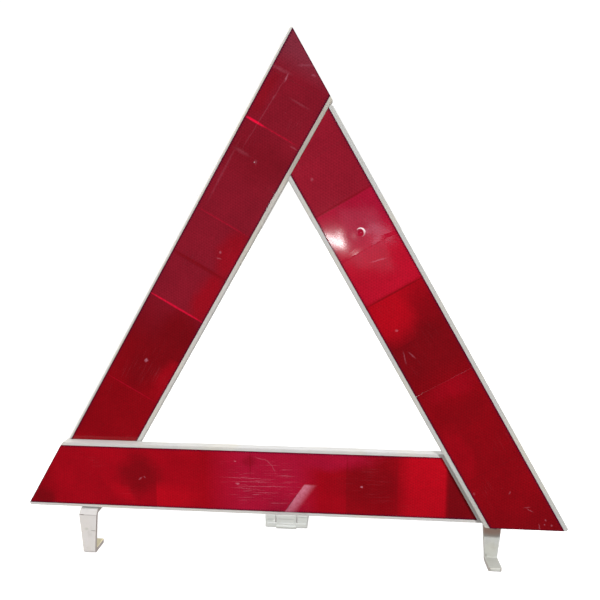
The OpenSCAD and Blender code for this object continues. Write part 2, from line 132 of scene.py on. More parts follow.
class Graph:
    """A material's nodes, with short calls for the ones used here."""

    def __init__(self, name="", material=None):
        self.material = material or bpy.data.materials.new(name)
        self.material.use_nodes = True
        self.tree = self.material.node_tree
        self.shader = self.tree.nodes["Principled BSDF"]

    def put(self, socket, value):
        if isinstance(value, bpy.types.NodeSocket):
            self.tree.links.new(value, socket)
        else:
            socket.default_value = value

    def node(self, kind, inputs=(), **settings):
        """A shader node with its inputs, by name or number, and its settings."""
        made = self.tree.nodes.new("ShaderNode" + kind)
        for key, value in settings.items():
            setattr(made, key, value)
        for key, value in dict(inputs).items():
            self.put(made.inputs[key], value)
        return made

    def finish(self, **sockets):
        """The material, with these values or links on its shader's inputs."""
        for key, value in sockets.items():
            self.put(self.shader.inputs[key.replace("_", " ")], value)
        return self.material

    def math(self, operation, *values):
        made = self.node("Math", operation=operation)
        for socket, value in zip(made.inputs, values):
            self.put(socket, value)
        return made.outputs[0]

    def product(self, first, *others):
        for other in others:
            first = self.math("MULTIPLY", first, other)
        return first

    def greatest(self, first, *others):
        for other in others:
            first = self.math("MAXIMUM", first, other)
        return first

    def vector(self, operation, *values):
        made = self.node("VectorMath", operation=operation)
        for socket, value in zip(made.inputs, values):
            self.put(socket, value)
        return made.outputs["Value" if operation in ("LENGTH", "DOT_PRODUCT") else "Vector"]

    def fade(self, value, start, end, low=0.0, high=1.0):
        """Smooth step from low at start to high at end."""
        inputs = {0: value, 1: start, 2: end, 3: low, 4: high}
        return self.node("MapRange", inputs, interpolation_type="SMOOTHSTEP").outputs[0]

    def mix(self, factor, a, b):
        """A colour between a and b; the node's sockets 6 and 7 and its output 2 hold colours."""
        return self.node("Mix", {0: factor, 6: a, 7: b}, data_type="RGBA").outputs[2]

    def noise(self, point, scale, detail=2.0, roughness=0.5):
        inputs = {"Vector": point, "Scale": scale, "Detail": detail, "Roughness": roughness}
        return self.node("TexNoise", inputs).outputs["Fac"]

    def shaken(self, point, scale, detail, by):
        """The point moved about in its plane by a noise, over a width of about by."""
        noise = self.node("TexNoise", {"Vector": point, "Scale": scale, "Detail": detail})
        offset = self.vector("MULTIPLY_ADD", noise.outputs["Color"], (1, 1, 0), (-0.5, -0.5, 0))
        return self.vector("ADD", point, self.scaled(offset, by))

    def place(self, point, centre, size, turn=0.0):
        """The point in the axes of a box turned by turn degrees, in units of its half sizes."""
        made = self.node("Mapping", {"Vector": point, "Location": (*centre, 0), "Scale": (*size, 1),
                                     "Rotation": (0, 0, math.radians(turn))}, vector_type="TEXTURE")
        return made.outputs[0]

    def mark(self, point, centre, size, turn=0.0, soft=0.5):
        """1 inside an ellipse with these half sizes, fading out over the share soft of them."""
        reach = self.vector("LENGTH", self.place(point, centre, size, turn))
        return self.fade(reach, 1 + soft, 1 - soft)

    def bump(self, height, strength, distance):
        """A normal from a height pattern; its distance is in metres."""
        inputs = {"Height": height, "Strength": strength, "Distance": distance}
        return self.node("Bump", inputs).outputs[0]

    def parts(self, vector):
        return self.node("SeparateXYZ", {0: vector}).outputs

    def ramp(self, value, stops):
        """A colour that goes through the stops, each a place from 0 to 1 and its colour."""
        made = self.node("ValToRGB", {0: value})
        elements = made.color_ramp.elements
        for _ in range(len(stops) - len(elements)):
            elements.new(0.5)
        for element, (at, colour) in zip(elements, stops):
            element.position = at
            element.color = colour
        return made.outputs[0]

    def object_mm(self, axes=(1, 1, 1)):
        """Position in the object's own axes, in millimetres, with the axes marked 0 left out."""
        place = self.node("TexCoord").outputs["Object"]
        return self.vector("MULTIPLY", place, [axis / MM for axis in axes])

    def strip_mm(self, point, strip):
        """A point of the object's own axes in a strip's frame."""
        place = FRAMES[strip]
        made = self.node("Mapping", {"Vector": point, "Location": place.translation,
                                     "Rotation": place.to_euler()}, vector_type="TEXTURE")
        return made.outputs[0]

    def scaled(self, vector, factor):
        made = self.node("VectorMath", {0: vector, "Scale": factor}, operation="SCALE")
        return made.outputs["Vector"]


# ---- looks of the red lens ----

CRIMSON = srgb(154, 5, 22)
RUBY = srgb(166, 5, 30)
SCARLET = srgb(176, 6, 25)
CERISE = srgb(178, 13, 40)
DEEP = srgb(134, 5, 17)
DARK = srgb(118, 7, 17)
WINE = srgb(130, 21, 38)
PLUM = srgb(122, 17, 32)
# greyish purple: a painted reflection at the left arm's apex
APEX_SHEEN = srgb(128, 42, 58)
ROSE = srgb(161, 15, 48)
PALE_PINK = srgb(206, 134, 156)
# dark purple: painted shade along the lens edges, and also the colour of the cut beside the base's
# wedge
SHADE_AND_CUT_PURPLE = srgb(62, 8, 36)
SEAM_GLOW = srgb(226, 12, 56)
# painted highlight round the right arm's upper screw post
CRESCENT_HIGHLIGHT = srgb(240, 222, 226)
ROSEWOOD = srgb(140, 22, 41)

# Tone of each lens: place along it, colour
TONES = {
    "base": [
        (12, DEEP), (30, CRIMSON), (155, CRIMSON), (188, ROSE), (232, ROSE), (252, CRIMSON),
        (272, CRIMSON), (276, DEEP), (312, DEEP), (326, SCARLET), (354, SCARLET), (355.5, DARK),
    ],
    "left_arm": [
        # at the apex, a painted reflection
        (0, APEX_SHEEN), (14, APEX_SHEEN), (30, WINE), (72, WINE), (95, PLUM), (125, WINE), (192, WINE),
        (194, PLUM), (197, WINE), (233, WINE), (235, PLUM), (275, DARK), (310, DEEP), (360, DEEP),
    ],
    "right_arm": [
        (0, DARK), (45, DEEP), (110, DEEP), (150, DEEP), (170, DARK), (198, DARK), (234, CRIMSON),
        (236, CERISE), (262, CERISE), (290, ROSE), (313, ROSE), (315, ROSEWOOD),
    ],
}

# Soft patches: colour, centre, half sizes, turn in degrees, strength,
# and the numbers of the two block edges that they lie between
PATCHES = {
    "base": [
        (DARK, (100, 31), (17, 17), 45, 0.8, (0, 2)), (DARK, (112, 34), (8, 10), 0, 0.4, (2, 3)),
        (DARK, (15, 9), (9, 7), 0, 0.8, (-1, 0)), (SCARLET, (84, 14), (13, 5), -34, 0.6, (0, 2)),
        (SCARLET, (124, 12), (26, 11), 0, 0.85, (2, 4)),
        (DARK, (290, 31), (24, 18), 10, 0.45, (5, 7)), (ROSE, (262, 50), (30, 9), 0, 0.9, (5, 7)),
        (DARK, (192, 46), (6, 5), 0, 0.4, (3, 5)),
    ],
    "left_arm": [
        (PLUM, (100, 32), (16, 14), 0, 0.6, (1, 3)), (CRIMSON, (172, 48), (22, 11), 0, 0.6, (3, 4)),
        (CRIMSON, (214, 48), (24, 11), 0, 0.7, (4, 5)), (DARK, (258, 42), (26, 17), 0, 0.9, (5, 7)),
        (DARK, (294, 27), (18, 11), 0, 0.7, (6, 7)), (CRIMSON, (290, 49), (18, 7), 0, 0.7, (6, 7)),
        (DEEP, (52, 9), (18, 5), 0, 0.4, (0, 1)),
    ],
    "right_arm": [
        (CRIMSON, (97, 47), (20, 8), 0, 0.6, (1, 3)),
        (SCARLET, (224, 44), (24, 20), 0, 0.85, (4, 5)),
        (DARK, (124, 26), (10, 20), 0, 0.3, (2, 3)), (RUBY, (147, 24), (8, 18), 0, 0.35, (2, 3)),
        (DARK, (182, 36), (14, 20), 0, 0.5, (3, 4)),
    ],
}

# Block edges that show: number of the edge, colour, from and to across the strip,
# half width, strength
SEAMS = {
    "base": [
        (4, DARK, 34, 54, 0.7, 0.4), (6, DARK, 3, 54, 0.8, 0.5), (7, DARK, 3, 54, 0.9, 0.35),
    ],
    "left_arm": [
        (1, SEAM_GLOW, 2, 21, 0.9, 1.0), (1, SEAM_GLOW, 18, 50, 0.5, 0.35),
        (3, SEAM_GLOW, 4, 52, 0.5, 0.22), (4, DARK, 4, 54, 1.4, 0.6),
        (5, SEAM_GLOW, 2, 54, 0.8, 0.7), (7, SEAM_GLOW, 4, 52, 0.5, 0.2),
    ],
    "right_arm": [
        (1, DARK, 3, 54, 0.6, 0.4), (5, DARK, 3, 54, 0.8, 0.7), (7, DARK, 3, 54, 0.8, 0.6),
    ],
}

# Scratches, scuffs and painted highlights over the screw posts: centre, half length, half width, turn
# in degrees, strength
SCRATCHES_AND_GLINTS = {
    "base": [
        ((192, 31), 17, 0.25, -1, 0.2), ((196, 28), 14, 0.25, 0, 0.24),
        ((208, 24.5), 16, 0.25, 1, 0.22), ((190, 22), 10, 0.25, -2, 0.2),
        ((206, 19), 9, 0.25, 0, 0.2), ((203, 48.2), 5, 0.4, -14, 0.15),
        ((209.5, 45), 3.5, 0.4, -42, 0.16), ((213, 40.5), 3, 0.4, -66, 0.14),
        ((181, 45.5), 0.9, 0.5, 0, 0.4), ((183, 26), 1.4, 0.7, 0, 0.4),
        # these two entries and the next one: painted highlights over the screw posts
        ((100, 27.5), 1.6, 0.4, 38, 0.24), ((103.5, 28.8), 0.8, 0.5, -30, 0.22),
        ((286, 27), 0.8, 0.7, 0, 0.7),
    ],
    "left_arm": [
        ((30, 10), 1.2, 8, 4, 0.09), ((33, 17.5), 3.2, 0.6, 4, 0.24),
        ((62, 15.5), 31, 0.4, -3, 0.07), ((50, 16.3), 2, 0.6, 0, 0.12),
        ((98.5, 14), 1.3, 6, 0, 0.07), ((119, 9), 21, 0.8, 1, 0.06), ((45, 36), 0.7, 7, 0, 0.07),
        ((21.5, 35), 0.6, 1.6, 10, 0.2), ((76, 49), 0.6, 2.4, 0, 0.12),
        # first entry: painted highlight over the screw post at 101
        ((100, 28), 1.4, 1.0, 20, 0.12), ((176, 38), 0.9, 0.7, 20, 0.28),
        # second entry: painted highlight over the screw post at 287
        ((181, 39.5), 0.5, 2, 15, 0.16), ((286.5, 27.5), 1.3, 1.1, 20, 0.6),
        ((18, 26), 0.8, 5, 30, 0.1),
    ],
    "right_arm": [
        ((30, 19), 2.6, 0.35, 30, 0.18), ((33, 20), 0.35, 2.2, -20, 0.15),
        ((14, 19), 2.4, 0.4, -15, 0.18), ((17, 12), 0.8, 0.6, 0, 0.24),
        ((14, 14.5), 0.6, 0.5, 0, 0.24), ((11, 10), 0.8, 0.6, 40, 0.24),
        ((50, 26), 1.2, 0.4, -50, 0.2), ((184, 40), 3, 0.5, 20, 0.16),
        ((185, 46), 4, 0.5, -15, 0.16), ((207, 41), 1.0, 0.8, 60, 0.24),
        ((341, 41), 1.1, 0.9, 0, 0.2), ((262, 27), 0.5, 5, -14, 0.26),
        ((62, 51), 1.0, 0.7, 0, 0.12),
    ],
}

CUT_SOFT = 0.4  # half width of the step where a block edge cuts a patch off
BASE_SHADE = 0.5  # the tone's brightness: this, and the shares below of three patterns
LATTICE_SHADE = 0.04
GRAIN_SHADE = 0.32
MOTTLE_SHADE = 0.44

EDGE_LINE = 0.75  # width of the painted shade along a long edge
TOOTH_LINE = 0.9  # and what each tooth adds to it
TIP_LINE = 1.3  # width of the soft painted shade along the slanted end

# Noise patterns: scale per millimetre, detail, roughness
LENS_GRAIN = (0.35, 4.0, 0.65)
LENS_MOTTLE = (0.03, 3.0, 0.6)
LENS_HAIRS = (1.0, 3.0, 0.7)
LENS_WORN = (0.018, 2.0)
LENS_SPECKS = (0.9, 1.0)
LENS_RIPPLE = (0.045, 1.0)

# Noises that move a pattern's points about: scale per millimetre, detail, by about how much
LOOSE = (0.05, 3.0, 14.0)
RAGGED = (0.5, 2.0, 1.6)

SCUFFED_AREA = ((206, 27), (30, 19))  # field of fine scratches on the base lens
WEDGE_FOOT = (229.5, 13.5)  # pale wedge rubbed into the base lens: a point on its sharp edge
WEDGE_TURN = 56  # direction of that edge
WEDGE_W = 10
WEDGE_TOP = 28  # it ends at this place across the strip
WEDGE_STRENGTH = 0.6
HAIRLINE = ((228.6, 12.6), (9, 0.3), 58)  # dark cut along the wedge's left side

CRESCENT_CENTRE = (287.4, 28.0)  # painted highlight: a pale crescent on the right arm's lens
CRESCENT_R = 3.5
CRESCENT_HOLLOW = (-0.1, 0.9)  # the disc that is left out of it, measured from its centre
CRESCENT_HOLLOW_R = 3.2


def seam_x(number):
    """Place of a block edge along a strip."""
    return FIRST_BLOCK + number * BLOCK_PITCH


def block_tones(g, x, loose, strip):
    """The lens's tone along the strip, with soft patches that stop at block edges."""
    colour = g.ramp(g.math("DIVIDE", x, SIDE), [(at / SIDE, tone) for at, tone in TONES[strip]])
    for tone, centre, size, turn, strength, (first, last) in PATCHES[strip]:
        start, stop = seam_x(first), seam_x(last)
        after = g.fade(x, start - CUT_SOFT, start + CUT_SOFT)
        before = g.fade(x, stop + CUT_SOFT, stop - CUT_SOFT)
        patch = g.mark(loose, centre, size, turn)
        colour = g.mix(g.product(patch, g.product(after, before), strength), colour, tone)
    return colour


def prism_lattice(g, flat):
    """Three sets of ridges at 60 degrees, as the prisms behind the face show through it."""
    ridges = []
    for turn in (0, 60, 120):
        ray = (math.cos(math.radians(turn)), math.sin(math.radians(turn)), 0)
        phase = g.product(g.vector("DOT_PRODUCT", flat, ray), 2 * math.pi / TOOTH_PITCH)
        ridges.append(g.math("SINE", phase))
    return g.math("ADD", g.math("ADD", ridges[0], ridges[1]), ridges[2])


def draw_seams(g, colour, flat, grain, strip):
    """The block edges that show, uneven with the grain."""
    for number, tone, start, stop, half_width, strength in SEAMS[strip]:
        centre = (seam_x(number), (start + stop) / 2)
        line = g.mark(flat, centre, (half_width, (stop - start) / 2), soft=0.35)
        uneven = g.product(line, g.fade(grain, 0.3, 0.6, 0.6 * strength, strength))
        colour = g.mix(uneven, colour, tone)
    return colour


def draw_edge_shade(g, colour, flat, corners):
    """Painted shade: a toothed dark line along the two long edges, and a soft one along the slanted
    end.
    """
    x, y = g.parts(flat)[:2]
    low, high = corners[0].y, corners[2].y
    to_edge = g.math("MINIMUM", g.math("SUBTRACT", y, low), g.math("SUBTRACT", high, y))
    half = TOOTH_PITCH / 2
    teeth = g.fade(g.math("PINGPONG", x, half), 0.35 * half, 0.65 * half)
    reach = g.math("MULTIPLY_ADD", teeth, TOOTH_LINE, EDGE_LINE)
    edge_shade = g.fade(g.math("DIVIDE", to_edge, reach), 1.25, 0.7)
    colour = g.mix(g.product(edge_shade, 0.7), colour, SHADE_AND_CUT_PURPLE)
    slope = (corners[3] - corners[0]).normalized()
    from_corner = g.vector("SUBTRACT", flat, (*corners[0], 0))
    from_tip = g.vector("DOT_PRODUCT", from_corner, (slope.y, -slope.x, 0))
    return g.mix(g.fade(from_tip, TIP_LINE, 0.2, 0.0, 0.65), colour, SHADE_AND_CUT_PURPLE)


def wedge_scuff(g, flat):
    """Pale wedge on the base lens: sharp on its left, faded on its right, fainter at its foot."""
    along_edge = g.parts(g.place(flat, WEDGE_FOOT, (1, 1), WEDGE_TURN))
    up, right = along_edge[0], g.product(along_edge[1], -1)
    height = g.parts(flat)[1]
    sides = g.product(g.fade(right, -0.3, 0.5), g.fade(right, WEDGE_W, 2))
    ends = g.product(g.fade(height, WEDGE_TOP, WEDGE_TOP - 2), g.fade(up, -17, 6, 0.75, 1.0))
    return g.product(g.product(sides, ends), WEDGE_STRENGTH)


def paint_crescent_highlight(g, flat):
    """Painted highlight: a pale crescent round the right arm's upper screw post."""
    outer = g.mark(flat, CRESCENT_CENTRE, (CRESCENT_R, CRESCENT_R), soft=0.1)
    hollow = Vector(CRESCENT_CENTRE) + Vector(CRESCENT_HOLLOW)
    inner = g.mark(flat, hollow, (CRESCENT_HOLLOW_R, CRESCENT_HOLLOW_R), soft=0.1)
    along = g.parts(flat)[0]
    fainter = g.fade(along, CRESCENT_CENTRE[0] - 3, CRESCENT_CENTRE[0] + 0.5, 0.3, 1.0)
    return g.product(fainter, g.math("SUBTRACT", outer, g.math("MINIMUM", outer, inner)))


def lens_wear_and_glints(g, flat, loose, ragged, grain, strip):
    """Pale wear, from 0 to 1: single scratches, a field of fine ones and specks of dust; the table
    also holds painted highlights over the screw posts.
    """
    wear_and_glints = 0.0
    for centre, half_length, half_width, turn, strength in SCRATCHES_AND_GLINTS[strip]:
        listed_mark = g.mark(ragged, centre, (half_length, half_width), turn, soft=0.8)
        wear_and_glints = g.greatest(wear_and_glints, g.product(listed_mark, strength))
    drawn_out = g.place(flat, (0, 0), (26, 0.8), 2)
    hairs = g.fade(g.noise(drawn_out, *LENS_HAIRS), 0.56, 0.74)
    worn = g.fade(g.noise(flat, *LENS_WORN), 0.5, 0.7, 0.01, 0.1)
    if strip == "base":
        field = g.mark(loose, *SCUFFED_AREA, soft=0.3)
        worn = g.greatest(worn, g.product(field, 0.5))
        wear_and_glints = g.greatest(wear_and_glints, wedge_scuff(g, flat))
    specks = g.fade(g.noise(flat, *LENS_SPECKS), 0.8, 0.84, 0.0, 0.2)
    wear_and_glints = g.greatest(wear_and_glints, g.product(hairs, worn), specks)
    return g.product(wear_and_glints, g.math("MULTIPLY_ADD", grain, 1.2, 0.3))


def lens_material(strip, corners):
    """Glossy red moulding: block tones and prism lattice below; painted edge shade, wear and painted
    highlights above.
    """
    g = Graph("red_lens_" + strip)
    flat = g.object_mm((1, 1, 0))
    grain = g.noise(flat, *LENS_GRAIN)
    mottle = g.noise(flat, *LENS_MOTTLE)
    lattice = prism_lattice(g, flat)
    loose = g.shaken(flat, *LOOSE)
    ragged = g.shaken(flat, *RAGGED)

    colour = block_tones(g, g.parts(flat)[0], loose, strip)
    shade = g.math("MULTIPLY_ADD", lattice, LATTICE_SHADE, BASE_SHADE)
    shade = g.math("ADD", shade, g.product(grain, GRAIN_SHADE))
    shade = g.math("ADD", shade, g.product(mottle, MOTTLE_SHADE))
    colour = g.scaled(colour, shade)
    colour = draw_seams(g, colour, flat, grain, strip)
    # painted shade along the lens's edges
    colour = draw_edge_shade(g, colour, flat, corners)

    # wear, with painted highlights over the screw posts
    wear_and_glints = lens_wear_and_glints(g, flat, loose, ragged, grain, strip)
    colour = g.mix(wear_and_glints, colour, PALE_PINK)
    if strip == "base":
        colour = g.mix(g.product(g.mark(ragged, *HAIRLINE), 0.7), colour, SHADE_AND_CUT_PURPLE)
    if strip == "right_arm":
        # painted highlight: the pale crescent round the upper screw post
        colour = g.mix(paint_crescent_highlight(g, flat), colour, CRESCENT_HIGHLIGHT)

    ripple = g.noise(flat, *LENS_RIPPLE)
    fine = g.math("ADD", g.product(lattice, 0.16), grain)
    return g.finish(
        Base_Color=colour, Roughness=g.math("MULTIPLY_ADD", wear_and_glints, 0.3, 0.38),
        Specular_IOR_Level=0.0, Coat_Weight=0.45, Coat_IOR=1.49, Coat_Roughness=0.09,
        Normal=g.bump(fine, 0.25, 0.0004), Coat_Normal=g.bump(ripple, 0.12, 0.0005),
    )


# ---- shape of the red lens ----

LENS_T = 2.5
GROOVE_DEPTH = 0.12  # of the grooves between the blocks
WIDE_GROOVE = 0.3  # width of every second one
FAINT_GROOVE = 0.12  # and of the others
WIDE_GROOVES = {"base": 0, "left_arm": 1, "right_arm": 1}  # wide: 0 even numbers, 1 odd ones
BLOCK_BEVEL = 0.12  # width of the bevel round a block's face
BLOCK_DROP = 0.03  # and its depth
TOOTH_DEPTH = 0.45  # how far the teeth of a long edge cut into the face
DOME_R = 9.0  # swelling over a screw post
DOME_RISE = 0.1
DOME_RINGS = 18
DIMPLE_R = 3.0  # dimple in the swelling's middle
DIMPLE_DEPTH = 0.3
DIMPLE_RINGS = 10
POST_R = 2.8  # screw post behind it
POST_LENGTH = 1.1
ROUND = 40  # points in a circle
SHARP_ANGLE = 10  # edges sharper than this many degrees are shaded as edges
SAME = 0.001  # points nearer than this are one point
LEVEL = 0.01  # and CAD points nearer than this to a face lie in it


def lens_outline(body, node):
    """Corners of the lens's face, anticlockwise from the point's outer one, and its height."""
    points = local_points(body, node)
    top = max(p.z for p in points)
    face = [p for p in points if p.z > top - LEVEL]
    rows = (min(p.y for p in face), max(p.y for p in face))
    ends = [[p.x for p in face if abs(p.y - row) < LEVEL] for row in rows]
    corners = [Vector((min(ends[0]), rows[0])), Vector((max(ends[0]), rows[0])),
               Vector((max(ends[1]), rows[1])), Vector((min(ends[1]), rows[1]))]
    return corners, top


def clip(points, limit, side):
    """Part of a convex outline on one side of the line x = limit."""
    kept = []
    for p, q in zip(points, points[1:] + points[:1]):
        if side * (p.x - limit) >= 0:
            kept.append(p)
        if (p.x - limit) * (q.x - limit) < 0:
            kept.append(Vector((limit, p.y + (q.y - p.y) * (limit - p.x) / (q.x - p.x))))
    return kept


def inset(points, by):
    """A convex outline moved inwards."""
    moved = []
    for i, p in enumerate(points):
        a = (p - points[i - 1]).normalized()
        b = (points[(i + 1) % len(points)] - p).normalized()
        na, nb = Vector((-a.y, a.x)), Vector((-b.y, b.x))
        moved.append(p + (na + nb) * by / (1 + na.dot(nb)))
    return moved


def circle(centre, radius):
    """Points round a circle, anticlockwise."""
    steps = [2 * math.pi * i / ROUND for i in range(ROUND)]
    return [Vector(centre) + Vector((math.cos(a), math.sin(a))) * radius for a in steps]


class LensMesh:
    """One closed mesh of moulded blocks: welded as it is built."""

    def __init__(self):
        self.mesh = bmesh.new()
        self.made = {}

    def vert(self, p, z):
        """The vertex at a place, made only once."""
        key = (round(p.x, 4), round(p.y, 4), round(z, 4))
        if key not in self.made:
            self.made[key] = self.mesh.verts.new(Vector((p.x, p.y, z)) * MM)
        return self.made[key]

    def face(self, verts):
        """A face, unless it has no area left or is there already."""
        distinct = list(dict.fromkeys(verts))
        if len(distinct) > 2 and self.mesh.faces.get(distinct) is None:
            self.mesh.faces.new(distinct)

    def band(self, below, z_below, above, z_above):
        """Quads between two open rows of points."""
        for i in range(len(below) - 1):
            self.face([self.vert(below[i], z_below), self.vert(below[i + 1], z_below),
                       self.vert(above[i + 1], z_above), self.vert(above[i], z_above)])

    def ring(self, outer, z_outer, inner, z_inner):
        self.band(outer + outer[:1], z_outer, inner + inner[:1], z_inner)

    def sheet(self, outline, holes, z):
        """Flat face with round holes."""
        loops = [outline] + holes
        flat = [p for loop in loops for p in loop]
        for triangle in tessellate_polygon([[(p.x, p.y, 0) for p in loop] for loop in loops]):
            self.face([self.vert(flat[i], z) for i in triangle])

    def dome(self, centre, z):
        """Slight swelling over a screw post, with a dimple in its middle."""
        swelling = [DOME_R * k / DOME_RINGS for k in range(DOME_RINGS, 0, -1)]
        dimple = [DIMPLE_R * k / DIMPLE_RINGS for k in range(DIMPLE_RINGS - 1, 0, -1)]
        radii = [r for r in swelling if r > DIMPLE_R] + dimple

        def height(r):
            swell = DOME_RISE * (1 + math.cos(math.pi * r / DOME_R)) / 2
            dip = DIMPLE_DEPTH * (1 + math.cos(math.pi * min(1, r / DIMPLE_R))) / 2
            return z + swell - dip

        rings = [(circle(centre, r), height(r)) for r in radii]
        rings[0] = (rings[0][0], z)
        for (outer, z_outer), (inner, z_inner) in zip(rings, rings[1:]):
            self.ring(outer, z_outer, inner, z_inner)
        self.face([self.vert(p, rings[-1][1]) for p in rings[-1][0]])

    def post(self, centre, z):
        rim = circle(centre, POST_R)
        self.ring(rim, z, rim, z - POST_LENGTH)
        self.face([self.vert(p, z - POST_LENGTH) for p in rim])

    def even_out(self):
        """Turns the edges inside the flat sheets, so that no triangle is left without area."""
        def is_level(face):
            return len(face.verts) == 3 and len({v.co.z for v in face.verts}) == 1

        level = [f for f in self.mesh.faces if is_level(f)]
        known = set(level)
        inside = [e for e in self.mesh.edges
                  if len(e.link_faces) == 2 and known.issuperset(e.link_faces)]
        bmesh.ops.beautify_fill(self.mesh, faces=level, edges=inside)

    def finish(self, name):
        self.even_out()
        bmesh.ops.recalc_face_normals(self.mesh, faces=self.mesh.faces)
        data = bpy.data.meshes.new(name)
        self.mesh.to_mesh(data)
        self.mesh.free()
        data.shade_smooth()
        data.set_sharp_from_angle(angle=math.radians(SHARP_ANGLE))
        return data


def toothed(p, q, p_in, q_in):
    """Outer and inner rows of a block's edge: long edges have teeth, all others are straight."""
    if abs(p.y - q.y) > SAME:
        return [p, q], [p_in, q_in]
    count = 2 * max(1, round((q - p).length / TOOTH_PITCH))
    steps = [k / count for k in range(count + 1)]
    notch = Vector((0, TOOTH_DEPTH if q.x > p.x else -TOOTH_DEPTH))
    outer = [p.lerp(q, step) for step in steps]
    inner = [p_in.lerp(q_in, step) + notch * (k % 2) for k, step in enumerate(steps)]
    return outer, inner


def groove_sides(strip, end):
    """Places along the strip of both sides of each groove between two blocks."""
    sides = []
    for i in range(int((end - FIRST_BLOCK) / BLOCK_PITCH) + 1):
        width = WIDE_GROOVE if i % 2 == WIDE_GROOVES[strip] else FAINT_GROOVE
        sides += [seam_x(i) - width / 2, seam_x(i) + width / 2]
    return sides


def add_stretch(lens, outline, top, cuts, is_block, posts):
    """One block of the lens, or one groove's floor, without walls where it meets the next."""
    back, floor, rim = top - LENS_T, top - GROOVE_DEPTH, top - BLOCK_DROP
    inner = inset(outline, BLOCK_BEVEL)
    outer_loop, inner_loop = [], []
    for k, p in enumerate(outline):
        q = outline[(k + 1) % len(outline)]
        p_in, q_in = inner[k], inner[(k + 1) % len(outline)]
        outer_row, inner_row = toothed(p, q, p_in, q_in) if is_block else ([p, q], [p_in, q_in])
        on_cut = abs(p.x - q.x) < SAME and any(abs(p.x - c) < SAME for c in cuts)
        if not on_cut:
            lens.band(outer_row, back, outer_row, floor)
        if is_block:
            lens.band(outer_row, floor, outer_row, rim)
            lens.band(outer_row, rim, inner_row, top)
        outer_loop += outer_row[:-1]
        inner_loop += inner_row[:-1]
    lens.sheet(outer_loop, [circle(c, POST_R) for c in posts], back)
    if not is_block:
        lens.sheet(outer_loop, [], floor)
        return
    lens.sheet(inner_loop, [circle(c, DOME_R) for c in posts], top)
    for centre in posts:
        lens.dome(centre, top)
        lens.post(centre, back)


def build_lens(strip):
    """The strip's lens, cut into its blocks, with toothed edges, post swellings and screw posts."""
    node = strip + "_lens"
    corners, top = lens_outline(strip, node)
    cuts = groove_sides(strip, max(c.x for c in corners))
    limits = [-SIDE] + cuts + [SIDE]
    lens = LensMesh()
    for i, (start, stop) in enumerate(zip(limits, limits[1:])):
        outline = clip(clip(corners, start, 1), stop, -1)
        if len(outline) < 3:
            continue
        is_block = i % 2 == 0
        posts = [(x, MIDDLE) for x in POSTS_ALONG if is_block and start < x < stop]
        add_stretch(lens, outline, top, cuts, is_block, posts)
    place = FRAMES[strip].copy()
    place.translation *= MM
    piece = add("red_lens_" + strip, lens.finish(node), place)
    piece.data.materials.append(lens_material(strip, corners))
    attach(piece, strip)
    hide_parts(node)


# ---- white mouldings ----

YELLOWED = srgb(206, 196, 166)
GREY_FILM = srgb(150, 147, 138)
STAIN_AND_SHADE = srgb(146, 138, 124)
BLEACHED = srgb(250, 250, 247)
CORNER_SHADE_AND_GRIME = srgb(92, 84, 74)
SCUFF = srgb(136, 130, 122)
SPECK = srgb(84, 74, 62)
SOLE_YELLOW = srgb(218, 206, 166)
SETTLED_DUST = srgb(150, 152, 151)
SIDE_SHADE_BROWN = srgb(142, 124, 114)

# Housings; a dark patch is its centre and half sizes on the strip, and its strength
HOUSING_LOOKS = {
    "base": {"tint": srgb(190, 189, 188)},
    "left_arm": {
        "tint": srgb(188, 186, 182), "pale_edge": 1.0,
        # the first patch, along the inner edge by the right arm's end, is painted shade with dirt;
        # the others are stains
        "stains_and_shade": [((64, 57), (36, 6), 0.55), ((130, 57), (60, 5), 0.2)],
    },
    "right_arm": {"tint": srgb(180, 181, 179), "stains_and_shade": [((30, 57), (50, 4), 0.2)]},
}

# Small mouldings: tint, dirt and painted corner shade, yellowing
SMALL_LOOKS = {
    "left_foot": (srgb(206, 203, 201), 0.7, 0.1),
    "right_foot": (srgb(188, 191, 188), 0.7, 0.1),
    "storage_clip": (srgb(192, 195, 191), 0.12, 0.0),
}

# Marks seen from the front: colour, centre (x from the part's middle, height), half sizes,
# turn in degrees, strength
FRONT_MARKS = {
    "left_foot": [
        (srgb(70, 60, 54), (-5.2, 34.6), (2.2, 0.35), 0, 0.8),
        (srgb(120, 110, 102), (1, 34.5), (7, 0.4), 0, 0.4),
        (srgb(80, 72, 64), (4.4, 20.6), (2.2, 0.3), -4, 0.6),
        (srgb(140, 150, 128), (-1.6, 22), (1.6, 1.2), 0, 0.25),
    ],
    "right_foot": [
        (srgb(190, 186, 150), (-0.5, 9), (5, 7), 0, 0.15),
        (srgb(110, 106, 90), (-4.2, 4.5), (0.7, 1.8), 0, 0.5),
        # painted shade: the warm brown of the shadow that the right arm casts on the foot's upper
        # part
        (srgb(184, 146, 128), (0, 30), (12, 7), 0, 0.8),
    ],
    "storage_clip": [
        # painted shade: dark line under the tongue's bottom bulge
        (srgb(112, 112, 106), (0, 33.4), (8, 0.5), 0, 0.8),
        # painted shade along the tongue's middle step
        (srgb(150, 152, 146), (0, 41), (7.6, 0.4), 0, 0.6),
        # painted highlight: a small bright spot on the tongue
        (srgb(236, 238, 236), (-9.8, 39.6), (1.4, 1), 0, 0.45),
        (srgb(150, 156, 150), (-13, 40.4), (3, 1), 0, 0.4),
        (srgb(140, 144, 138), (13, 43), (3.6, 0.35), 0, 0.6),
    ],
}
SOLE_YELLOWING = {"left_foot": 0.85, "right_foot": 0.1}
SOLE_TOP = 4.5  # only the sole's upper face lies below this height and looks up
CORNER_REACH = 0.004  # painted shade and grime gather in corners this near to another face, in metres
CORNER_SAMPLES = 6
SKIN_DEPTH = (0.0012, 0.0011, 0.0009)  # how far light goes into the plastic, in metres

# Noise patterns: scale per millimetre, detail, roughness
PATCHES_NOISE = (0.02, 4.0, 0.6)
CLOUD_NOISE = (0.11, 3.0, 0.6)
GRAIN_NOISE = (2.4, 3.0, 0.6)
SCUFF_NOISE = (1.0, 2.0, 0.6)
SPECK_NOISE = (0.8, 1.0)


